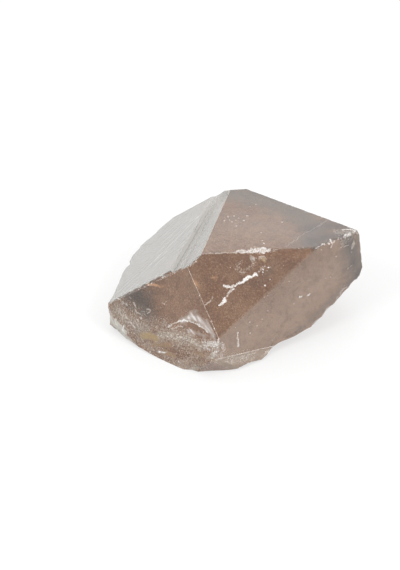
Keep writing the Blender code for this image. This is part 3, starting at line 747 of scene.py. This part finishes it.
foot, along, across = face_axes("prism_0")
sunk = -above_face(points, "prism_0")
on_prism = (sunk < 1.35) & (above_face(points, "pyramid_0") < 0.2)
others = [above_face(points, name) for name in FACES if name not in ("prism_0", "steep")]
from_rim = -np.max(others, axis=0)
far_end = 1 - smooth(*LEDGE_CLOSE_MM, -above_face(points, "prism_5"))
near_ridge = smooth(*RIDGE_REACH_MM, (points - foot) @ along)
lift = LEDGE_LIFT * np.clip(sunk, 0, LEDGE_DEEPEST_MM) * far_end * near_ridge * on_prism
lift = lift * smooth(*TOP_REACH_MM, -above_face(points, "pyramid_0"))
points = points + NORMALS["prism_0"] * lift[:, None]
side = (points - foot) @ (LINE_ALONG * along + LINE_ACROSS * across)
wander = LINE_WANDER * rough_noise(points, WANDER_CELL_MM, 31, 2)
phase = (side / LINE_SPACING_MM + wander) % 1
step = np.where(phase < LINE_RISE, phase / LINE_RISE, (1 - phase) / (1 - LINE_RISE))
patchy = smooth(-0.2, 0.5, rough_noise(points, PATCH_CELL_MM, 32, 2))
patchy = patchy * smooth(0.3, 1.2, from_rim)
points = points - NORMALS["prism_0"] * (LINE_DEEP_MM * step * patchy * on_prism)[:, None]
print("ledges rise by up to", round(float(lift.max()), 2), "mm")

# %% [markdown]
# Each chip is the scar of a small flake.  A ball stands just outside the edge, and every
# point inside it is carried straight out from its centre on to the ball.  A large ball
# that barely dips in leaves a wide shallow scar, and a small one leaves a nick.  Most
# chips are drawn at random along an edge, and a few larger scars are placed one by one.

# %% Chips along the edges
def chip(points, places, outwards, radii, depths):
    """Carry the points inside each ball on to it: c + r (p - c) / |p - c|."""
    moved = np.zeros(len(points))
    for place, out, radius, deep in zip(places, outwards, radii, depths):
        centre = place + out * (radius - deep)
        inside = np.flatnonzero(np.abs(points - centre).max(axis=1) < radius)
        away = points[inside] - centre
        reach = np.linalg.norm(away, axis=1)
        inside, away, reach = inside[reach < radius], away[reach < radius], reach[reach < radius]
        points[inside] = centre + radius * away / reach[:, None]
        moved[inside] = np.maximum(moved[inside], radius - reach)
    return moved


def chip_edge(points, start, end, first, second, count, size, seed):
    """Chips at random places along an edge, each leaning to one of its two faces."""
    draw = np.random.default_rng(seed)
    share = (np.arange(count) + draw.uniform(0, 1, count)) / count
    places = start + share[:, None] * (end - start)
    lean = draw.uniform(0.15, 0.85, count)[:, None]
    outwards = unit(NORMALS[first] * lean + NORMALS[second] * (1 - lean))
    scale = size * draw.uniform(0.4, 1.0, count) ** 2
    radii = scale * draw.uniform(1.0, 2.2, count)
    return chip(points, places, outwards, radii, scale * draw.uniform(0.12, 0.35, count))


def on_brow(share):
    """The point this share of the way along the brow, from its left end."""
    return BROW_LEFT + share * (BROW_RIGHT - BROW_LEFT)


CHIPS = (
    # edge from, to, its two faces, how many, size in mm, seed
    (LOW_SHOULDER, RIDGE_END, "prism_0", "prism_1", 130, 0.5, 61),
    (BROW_LEFT, LOW_SHOULDER, "prism_0", "pyramid_1", 16, 1.4, 62),
    (BROW_LEFT, BROW_RIGHT, "pyramid_0", "pyramid_1", 34, 0.6, 63),
    (on_brow(0.36), on_brow(0.64), "pyramid_0", "pyramid_1", 30, 1.5, 64),
    (BROW_LEFT, BACK, "pyramid_0", "prism_0", 24, 0.45, 65),
    (LOW_SHOULDER, HEEL, "pyramid_1", "prism_1", 16, 0.45, 66),
    (LOW_SHOULDER + 0.7 * (HEEL - LOW_SHOULDER), HEEL, "pyramid_1", "prism_1", 12, 0.7, 70),
    (HEEL, BROW_RIGHT, "pyramid_1", "pyramid_2", 24, 0.4, 67),
    (BROW_RIGHT, TIP, "pyramid_0", "pyramid_2", 36, 1.7, 68),
    (TIP, corner("pyramid_0", "pyramid_5", "prism_5"), "pyramid_0", "pyramid_5", 30, 0.6, 69),
    (UNDER_TIP, UNDER_HEEL, "pyramid_2", "prism_3", 30, 0.9, 71),
    (UNDER_TIP, UNDER_HEEL, "pyramid_2", "prism_3", 7, 3.2, 72),
)
FLAKES = (
    # place in mm, way out of the stone, radius and depth in mm of one larger scar
    ((-31.4, 18.5, 9.8), (-0.80, 0.55, 0.20), 9.0, 1.0),
    ((-33.2, 11.4, 9.5), (-0.95, 0.25, 0.10), 1.6, 0.6),
    ((-26.0, 21.7, 13.2), (-0.60, 0.75, 0.25), 6.0, 0.35),
    ((-4.6, 22.1, 28.8), (-0.35, 0.75, 0.55), 4.0, 0.45),
    ((-38.2, -11.2, 4.5), (-0.85, -0.40, -0.30), 4.0, 0.5),
)
EDGE_LINES = (
    # which mark, line, half width in mm, strength
    ("hair", (LOW_SHOULDER, HEEL), 0.2, 0.8),
    ("hair", (SHOULDER - 38.0 * LONG_AXIS, LOW_SHOULDER), 0.4, 0.42),
    ("hair", (BROW_LEFT, on_brow(0.4)), 0.25, 0.6),
    ("hair", (BROW_LEFT, BACK), 0.25, 0.7),
    ("bruise", (on_brow(0.35), on_brow(0.58)), 1.0, 0.6),
    ("hair", (UNDER_TIP, UNDER_HEEL), 0.3, 0.55),
    ("dim", (BROW_RIGHT, on_brow(0.96)), 0.5, 1.0),
)
chipped = np.zeros(len(points))
for row in CHIPS:
    chipped = np.maximum(chipped, chip_edge(points, *row))
places, outwards, radii, depths = zip(*FLAKES)
chip(points, np.array(places), unit(outwards), radii, depths)
print("chips reach", round(float(chipped.max()), 2), "mm deep")

# %% [markdown]
# Each mark becomes a number at every point of the surface, 0 where the mark is not and
# about 1 where it is strongest.  It is stored on the mesh under the mark's name, and the
# shader reads it by that name.  A tone stays on its own face, so it ends at the edge, and
# the other marks may run a little round the edge, as a real bruise does.  The pale face
# gets a painted reflection of the bright surroundings over all of it, with its growth
# streaks in it.  The sunk ledges get painted shade, and their small steep walls get
# painted light of their own.

# %% Marks as numbers on the mesh
WARP_CELL_MM, WARP_MM = 1.1, 0.45
RAGGED, RAGGED_CELL_MM = 0.6, 0.8
SOLID_SHARE, FADE_SHARE = 0.35, -0.3
TONE_REACH_MM, MARK_REACH_MM = 0.35, (1.4, 4.0)
# painted shade on the two sunk ledge levels (depth in mm, strength), and painted light on their
# steep walls
LEDGE_SHADES = ((0.85, 0.15), (1.25, 0.1))
LEDGE_BAND_MM, WALL_DROP_MM, WALL_LIGHT_SHARE = 0.1, 0.1, 0.8
CHIP_SHOWS_MM = 0.05

marks = {kind: np.zeros(len(points)) for kind in KINDS}
warp = np.stack([rough_noise(points, WARP_CELL_MM, seed, 3) for seed in (81, 82, 83)], axis=1)
for index, (kind, face, spots, width, strength) in enumerate(MARKS):
    shaken = points + min(WARP_MM, width) * warp if kind in THIN else points
    away = distance_to_line(shaken, on_face(face, spots))
    ragged = 1 + RAGGED * rough_noise(points, max(width, RAGGED_CELL_MM), 200 + index, 3)
    solid_part = SOLID_SHARE if kind in THIN else FADE_SHARE
    amount = strength * (1 - smooth(solid_part, 1.0, away / (width * ragged)))
    reach = TONE_REACH_MM if kind in TONES else np.clip(width, *MARK_REACH_MM)
    near_face = np.abs(above_face(points, face)) < reach
    marks[kind] = np.maximum(marks[kind], amount * near_face)
for kind, line, width, strength in EDGE_LINES:
    away = distance_to_line(points, np.array(line))
    marks[kind] = np.maximum(marks[kind], strength * (1 - smooth(0.3, 1.0, away / width)))
on_ledge = on_prism * (from_rim > 0.2)
off_ridge = np.where(sunk > 0.25, smooth(0.05, 0.3, -above_face(points, "prism_1")), 1.0)
# a painted reflection of the bright surroundings over the pale prism face
marks["pale_sheen"] = on_prism * smooth(-0.3, 0.1, from_rim) * off_ridge
marks["smoke"] *= 1 - marks["pale_sheen"]
# painted shade on the sunk ledges
for level, amount in LEDGE_SHADES:
    at_level = np.abs(sunk - level) < LEDGE_BAND_MM
    marks["dim"] = np.maximum(marks["dim"], amount * at_level * on_ledge)
# painted light on the steep walls of the ledges
steep = np.ptp(sunk[triangles], axis=1) > WALL_DROP_MM
steep &= (on_ledge[triangles] > 0).all(axis=1)
marks["wall_light"][triangles[steep]] = WALL_LIGHT_SHARE
marks["chip"] = smooth(0.0, CHIP_SHOWS_MM, chipped)
marks["broken"] = broken
marks["rim"] = rim
print({kind: round(float(values.max()), 2) for kind, values in marks.items()})

# %% The finished mesh
CREASE_DEG = 24

mesh = bpy.data.meshes.new("quartz_crystal")
mesh.from_pydata((points * MM).tolist(), [], triangles.tolist())
mesh.update()
for kind, values in marks.items():
    numbers = mesh.attributes.new(kind, "FLOAT", "POINT").data
    numbers.foreach_set("value", values.astype(np.float32))
mesh.shade_smooth()
mesh.set_sharp_from_angle(angle=math.radians(CREASE_DEG))
crystal = bpy.data.objects.new("quartz_crystal", mesh)
scene.collection.objects.link(crystal)
print(crystal.name, "has", len(mesh.polygons), "triangles")

# %% [markdown]
# The finish is smoky quartz: silica, clear but brown from natural radiation, with a
# refractive index of 1.544.  Its faces grew smooth and glossy, and its breaks are duller.
# This one is slightly hazy, so most light passes through and part of it is scattered.
# One shader does the whole stone, because it is one piece of one mineral: the marks only
# change its colour, its clearness and its roughness.

# %% Helpers for the finish
QUARTZ_IOR = 1.544


def add_node(tree, kind, settings=None, inputs=None):
    """One node, with its settings, and with each input linked or set to a value."""
    made = tree.nodes.new(kind)
    for name, value in (settings or {}).items():
        setattr(made, name, value)
    for name, value in (inputs or {}).items():
        if isinstance(value, bpy.types.NodeSocket):
            tree.links.new(value, made.inputs[name])
        else:
            made.inputs[name].default_value = value
    return made


# %% The material and its small sums
quartz = bpy.data.materials.new("smoky_quartz")
quartz.use_nodes = True
tree = quartz.node_tree
surface = tree.nodes["Principled BSDF"]
where = add_node(tree, "ShaderNodeTexCoord").outputs["Object"]


def blend(share, low, high):
    """Mix of two colours by a share."""
    made = add_node(tree, "ShaderNodeMix", {"data_type": "RGBA"}, {0: share, 6: low, 7: high})
    return made.outputs[2]


def blend_number(share, low, high):
    """Mix of two numbers by a share."""
    made = add_node(tree, "ShaderNodeMix", {"data_type": "FLOAT"}, {0: share, 2: low, 3: high})
    return made.outputs[0]


def attribute(name):
    """The number that the mesh holds under a name."""
    return add_node(tree, "ShaderNodeAttribute", {"attribute_name": name}).outputs["Fac"]


def noise(size_mm, detail=3.0, rough=0.55, vector=where):
    """Noise from 0 to 1 on object coordinates, with blotches about this large."""
    inputs = {"Vector": vector, "Scale": 1 / (size_mm * MM), "Detail": detail, "Roughness": rough}
    return add_node(tree, "ShaderNodeTexNoise", None, inputs).outputs["Fac"]


def ramp(value, low, high, from_value=0.0, to_value=1.0):
    """A smooth step from one value to another, between low and high."""
    inputs = {0: value, 1: low, 2: high, 3: from_value, 4: to_value}
    settings = {"interpolation_type": "SMOOTHSTEP"}
    return add_node(tree, "ShaderNodeMapRange", settings, inputs).outputs[0]


def maths(operation, first, second, third=0.0):
    """One sum on numbers, such as ADD or MULTIPLY_ADD."""
    inputs = {0: first, 1: second, 2: third}
    return add_node(tree, "ShaderNodeMath", {"operation": operation}, inputs).outputs[0]


def on_vectors(operation, inputs):
    """One sum on vectors, such as DOT_PRODUCT or SCALE."""
    return add_node(tree, "ShaderNodeVectorMath", {"operation": operation}, inputs).outputs


def stretched(direction, share):
    """Object coordinates squeezed along a direction, so that noise on them runs in streaks."""
    way = unit(direction).tolist()
    reach = on_vectors("DOT_PRODUCT", {0: where, 1: way})["Value"]
    back = on_vectors("SCALE", {0: way, "Scale": reach})[0]
    less = on_vectors("SCALE", {0: back, "Scale": -share})[0]
    return on_vectors("ADD", {0: where, 1: less})[0]


# %% [markdown]
# Six sizes of noise break the colours up, from clouds a centimetre wide to fine dust.
# Real dust and pinprick bubbles are under a tenth of a millimetre, too fine to show here,
# so they are drawn three times as coarse.  The streaks run along the growth lines of the
# pale face, and the fan runs out from the heel, as the cracks of its veil do.

# %% Patterns in the stone
CLOUD_MM, MOTTLE_MM, MIDDLING_MM, GRAIN_MM, FINE_MM = 11.11, 2.381, 1.0, 0.4762, 0.3125
STREAK_MM, STREAK_SQUEEZE = 1.111, 0.93
FAN_MM, FAN_ALONG, FAN_ACROSS, FAN_SQUEEZE = 0.7692, 0.15, -0.99, 0.85
SPECK_CELL_MM = 1.613

_, along, across = face_axes("prism_0")
line_way = LINE_ACROSS * along - LINE_ALONG * across
streak = noise(STREAK_MM, 4.0, 0.6, stretched(line_way, STREAK_SQUEEZE))
_, along, across = face_axes("prism_1")
fan_way = FAN_ALONG * along + FAN_ACROSS * across
fan = noise(FAN_MM, 4.0, 0.6, stretched(fan_way, FAN_SQUEEZE))
cloud, mottle, grain = noise(CLOUD_MM), noise(MOTTLE_MM), noise(GRAIN_MM, 2.0)
fine, middling = noise(FINE_MM, 3.0, 0.7), noise(MIDDLING_MM, 4.0, 0.7)
cell_inputs = {"Vector": where, "Scale": 1 / (SPECK_CELL_MM * MM)}
cells = add_node(tree, "ShaderNodeTexVoronoi", None, cell_inputs).outputs
red = add_node(tree, "ShaderNodeSeparateColor", None, {0: cells["Color"]}).outputs[0]
specks = maths("MULTIPLY", ramp(cells["Distance"], 0.15, 0.05), ramp(red, 0.5, 1.0))
print("patterns use", len(tree.nodes), "nodes")

# %% [markdown]
# The stone's own brown wanders between two shades, is warmer and lighter where it is
# hazy and where a reflection of the bright surroundings is painted on, and carries a dark
# mottle and a light and a dark grain.  Over that come the marks.
# Each layer takes its share from the mark's number plus some noise, so its border is torn
# in the way of that mark.  A share below where the mark begins is cut off, so no layer
# leaks out over the rest of the stone.

# %% Colours and layers of the marks
BODY_CLEAR, BODY_ROUGH, MARK_BEGINS = 0.6, 0.25, 0.15

body = blend(ramp(cloud, 0.35, 0.65), linear("#83593b"), linear("#9b7456"))
# lighter and warmer where the stone is hazy and where a reflection is painted on
body = blend(attribute("haze_and_sheen"), body, linear("#bca08b"))
body = blend(ramp(mottle, 0.42, 0.75, 0.0, 0.45), body, linear("#674631"))
body = blend(ramp(grain, 0.45, 0.75, 0.0, 0.6), body, linear("#c2a287"))
body = blend(ramp(grain, 0.45, 0.25, 0.0, 0.5), body, linear("#563825"))
clear, rough = BODY_CLEAR, BODY_ROUGH

LAYERS = (
    # mark, its colour, the noise that breaks it up, how much, from, to, most, clearness, roughness
    ("broken", "#9a8b7b", cloud, 0.0, 0.0, 1.0, 1.0, 0.15, 0.55),
    # painted shade that greys and darkens parts of faces
    ("grey_shade", "#827a71", mottle, 0.4, 0.0, 1.0, 0.85, 0.55, 0.25),
    # a painted reflection over the pale face, with its growth streaks
    ("pale_sheen", "#959792", streak, 0.6, 0.2, 1.1, 0.88, 0.5, 0.22),
    ("pale_sheen", "#cccdc9", fine, 6.0, 0.8, 1.9, 0.6, 0.4, 0.3),
    ("thin", "#bdbcb2", cloud, 1.0, 0.2, 0.7, 0.9, 0.35, 0.3),
    # painted light on the steep ledge walls
    ("wall_light", "#b0ada8", fine, 0.8, 0.0, 0.8, 0.9, 0.3, 0.35),
    # darker bands, painted shade where they lie on the sunk ledges
    ("dim", "#7d6e63", streak, 0.8, 0.1, 0.9, 0.75, 0.45, 0.3),
    ("rim", "#85705f", middling, 2.0, 0.2, 0.9, 0.8, 0.2, 0.55),
    # painted shade
    ("shade", "#4e4846", mottle, 0.5, 0.0, 1.0, 0.9, 0.6, 0.25),
    # painted light, where light gathers inside the stone
    ("glow", "#cf9e76", middling, 1.0, 0.3, 1.0, 0.9, 0.5, 0.25),
    ("smoke", "#4b4137", middling, 1.6, 0.1, 0.95, 0.75, 0.5, 0.3),
    ("smoke", "#221d19", fine, 7.0, 0.35, 1.5, 0.8, 0.5, 0.3),
    ("frost", "#786e60", middling, 1.2, 0.1, 0.9, 0.6, 0.3, 0.45),
    ("frost", "#cfc8bc", fine, 8.0, 0.5, 1.6, 0.8, 0.1, 0.55),
    ("stain", "#8d7340", middling, 1.2, 0.2, 0.9, 0.75, 0.15, 0.55),
    ("veil", "#aca39d", middling, 1.0, 0.0, 0.8, 0.8, 0.25, 0.5),
    ("veil", "#dedad7", fan, 4.0, 0.5, 1.4, 0.7, 0.1, 0.5),
    ("scratch", "#b5aeab", fine, 1.2, 0.3, 0.9, 0.3, 0.4, 0.4),
    ("hair", "#c2bbb2", fine, 2.4, 0.35, 0.8, 0.6, 0.1, 0.5),
    ("chip", "#d6d2cd", fine, 5.0, 1.2, 1.7, 0.8, 0.1, 0.6),
    ("bruise", "#a8a19a", middling, 2.5, 0.25, 0.6, 0.8, 0.1, 0.65),
    ("bruise", "#dad7d4", fine, 4.0, 0.45, 0.9, 1.0, 0.05, 0.65),
)
for name, colour, tear, amount, low, high, most, clearness, roughness in LAYERS:
    inside = attribute(name)
    torn = maths("MULTIPLY_ADD", maths("SUBTRACT", tear, 0.5), amount, inside)
    share = maths("MULTIPLY", ramp(torn, low, high, 0.0, most), ramp(inside, 0.0, MARK_BEGINS))
    body = blend(share, body, linear(colour))
    clear = blend_number(share, clear, clearness)
    rough = blend_number(share, rough, roughness)
body = blend(maths("MULTIPLY", specks, 0.6), body, linear("#cbc6c1"))
body = blend(ramp(fine, 0.62, 0.78, 0.0, 0.4), body, linear("#c9bfb4"))
clear = blend_number(specks, clear, 0.1)
print(len(LAYERS), "layers of marks")

# %% [markdown]
# Breaks and frost also catch the light unevenly, and the pale face has fine lines, all
# too shallow for the mesh, so they are a bump.  The gloss is a smooth coat over the hazy
# stone, and the depth of the brown comes from absorption within it.

# %% Relief and gloss of the stone
RELIEF_MM, BUMP_MM, BUMP_STRENGTH = 0.6667, 0.3, 0.6
LINE_SHARE, DUST_SHARE = 0.8, 0.3
COAT_ROUGH, ABSORPTION_PER_M = 0.06, 25.0

roughened = maths("ADD", attribute("broken"), attribute("frost"))
relief = maths("MULTIPLY", noise(RELIEF_MM, 4.0, 0.65), roughened)
lines = maths("ADD", streak, maths("MULTIPLY", fine, DUST_SHARE))
relief = maths("MULTIPLY_ADD", maths("MULTIPLY", lines, attribute("pale_sheen")), LINE_SHARE, relief)
bump_inputs = {"Height": relief, "Distance": BUMP_MM * MM, "Strength": BUMP_STRENGTH}
bump = add_node(tree, "ShaderNodeBump", None, bump_inputs).outputs[0]
for name, value in {"Base Color": body, "Transmission Weight": clear, "Roughness": rough,
                    "Normal": bump, "Coat Normal": bump}.items():
    tree.links.new(value, surface.inputs[name])
for name, value in {"Coat Weight": 1.0, "Coat Roughness": COAT_ROUGH,
                    "Coat IOR": QUARTZ_IOR, "IOR": QUARTZ_IOR}.items():
    surface.inputs[name].default_value = value
absorbing = {"Color": linear("#d9bda8"), "Density": ABSORPTION_PER_M}
within = add_node(tree, "ShaderNodeVolumeAbsorption", None, absorbing).outputs[0]
tree.links.new(within, tree.nodes["Material Output"].inputs["Volume"])
mesh.materials.append(quartz)

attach(crystal, "root")
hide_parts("crystal")

# %% [markdown]
# The stone lies on a plain white sheet that is lit from below as well as from above, so
# its shadow is soft and pale.  A little emission on the sheet does that, without a second
# lamp under it.  The sheet is a hair below the stone, because two surfaces at exactly one
# height would fight each other.  Round it all is plain white light, brighter from behind
# the stone than from the viewer's side, and two weak soft lamps from the left and right.

# %% The white sheet
FLOOR_DROP_MM = 0.05
FLOOR_HALF_MM = 2000.0
SHEET_GLOW, SHEET_ROUGH = 0.55, 0.7
WHITE = (1.0, 1.0, 1.0, 1.0)

table = bpy.data.meshes.new("table")
half, low = FLOOR_HALF_MM * MM, -FLOOR_DROP_MM * MM
corners = [(-half, -half, low), (half, -half, low), (half, half, low), (-half, half, low)]
table.from_pydata(corners, [], [(0, 1, 2, 3)])
white = bpy.data.materials.new("white_table")
white.use_nodes = True
for name, value in {"Base Color": linear("#8f8f8f"), "Roughness": SHEET_ROUGH,
                    "Emission Color": WHITE, "Emission Strength": SHEET_GLOW}.items():
    white.node_tree.nodes["Principled BSDF"].inputs[name].default_value = value
table.materials.append(white)
floor = bpy.data.objects.new("table", table)
scene.collection.objects.link(floor)
floor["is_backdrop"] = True
print("the sheet lies", FLOOR_DROP_MM, "mm below the stone")

# %% Soft light
NEAR_LIGHT, FAR_LIGHT = 0.6, 1.42
LIGHT_FROM, LIGHT_TO = -0.9, 0.2
LAMPS_AIM_MM = (0.0, 0.0, 15.0)

scene.world = bpy.data.worlds.new("studio")
scene.world.use_nodes = True
studio = scene.world.node_tree
way = add_node(studio, "ShaderNodeTexCoord").outputs["Generated"]
depth_way = add_node(studio, "ShaderNodeSeparateXYZ", None, {0: way}).outputs["Y"]
brightness = add_node(
    studio, "ShaderNodeMapRange", {"interpolation_type": "SMOOTHSTEP"},
    {0: depth_way, 1: LIGHT_FROM, 2: LIGHT_TO, 3: NEAR_LIGHT, 4: FAR_LIGHT},
).outputs[0]
background = studio.nodes["Background"].inputs
studio.links.new(brightness, background["Strength"])
background["Color"].default_value = WHITE

LAMPS = (
    # name, place in mm, size in mm, power in watts
    ("left", (-500.0, -350.0, 500.0), 400.0, 3.0),
    ("right", (500.0, -350.0, 450.0), 400.0, 3.0),
)
for name, place, size, power in LAMPS:
    lamp = bpy.data.lights.new(name, "AREA")
    lamp.size, lamp.energy = size * MM, power
    aim(bpy.data.objects.new(name, lamp), place, LAMPS_AIM_MM)
print(len(LAMPS), "lamps")

# %% [markdown]
# Last, the boxes of the plain solid and of the finished stone are measured, and the
# finished one is printed, to show that the finish has not changed its size.

# %% Sizes and finish
boxes = {"cad": cad_box, "visual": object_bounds()}
boxes = {name: [list(map(float, spot)) for spot in box] for name, box in boxes.items()}
print("finished box in mm:", np.round(np.array(boxes["visual"]) * 1000, 1).tolist())
